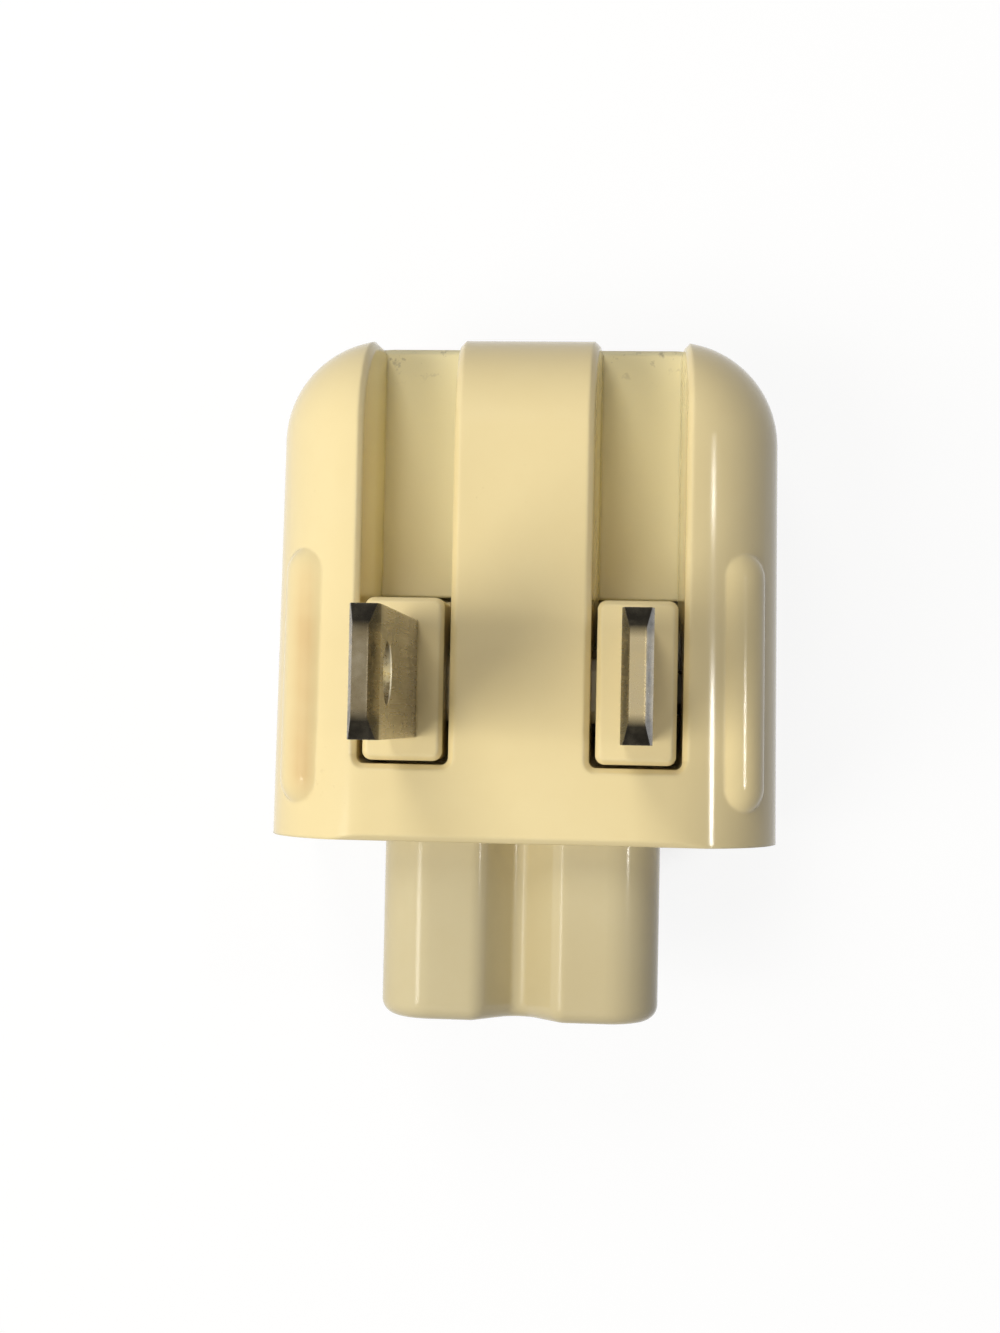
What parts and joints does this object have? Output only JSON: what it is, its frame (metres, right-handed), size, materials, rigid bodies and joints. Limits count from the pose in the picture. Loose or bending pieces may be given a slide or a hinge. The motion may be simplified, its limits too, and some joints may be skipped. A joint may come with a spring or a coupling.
{
  "type": "power adapter plug",
  "caption": "Slide-on wall plug with a rounded cream body, folding flat blades in open bays and a figure-8 connector nose that pushes into a charger brick.",
  "frame": {"origin": "on the back face, in the middle of the stud slot's width, under the centre line of the blades", "axes": "+X across the plug, +Y toward the rounded top, where the blades fold to, +Z out of the blade face; the plug lies on its back"},
  "size_m": [0.0286, 0.0386, 0.0335],
  "materials": {
    "shell_plastic": "smooth gloss, cream",
    "cover_plastic": "smooth, cream",
    "nose_plastic": "satin, greyer cream",
    "frame_plastic": "plain moulded",
    "carrier_plastic": "smooth gloss, cream",
    "contact_brass": "plain rolled brass",
    "spring_steel": "bright spring strip",
    "blade_metal": "nickel plated, fine drawn lines"
  },
  "bodies": {
    "housing": {"outer_shell": "shell_plastic", "rear_cover": "cover_plastic", "connector_nose": "nose_plastic", "inner_frame": "frame_plastic", "left_pin_sleeve": "contact_brass", "right_pin_sleeve": "contact_brass", "left_contact_strip": "contact_brass", "right_contact_strip": "contact_brass", "detent_spring": "spring_steel"},
    "blades": {"blade_carrier": "carrier_plastic", "left_hinge_pin": "contact_brass", "right_hinge_pin": "contact_brass", "left_blade": "blade_metal", "right_blade": "blade_metal"}
  },
  "joints": [
    {"name": "blade_fold", "type": "hinge", "parent": "housing", "child": "blades", "pos_m": [0, -0.00045, 0.0135], "axis": [-1, 0, 0], "range_deg": [0, 90]}
  ]
}
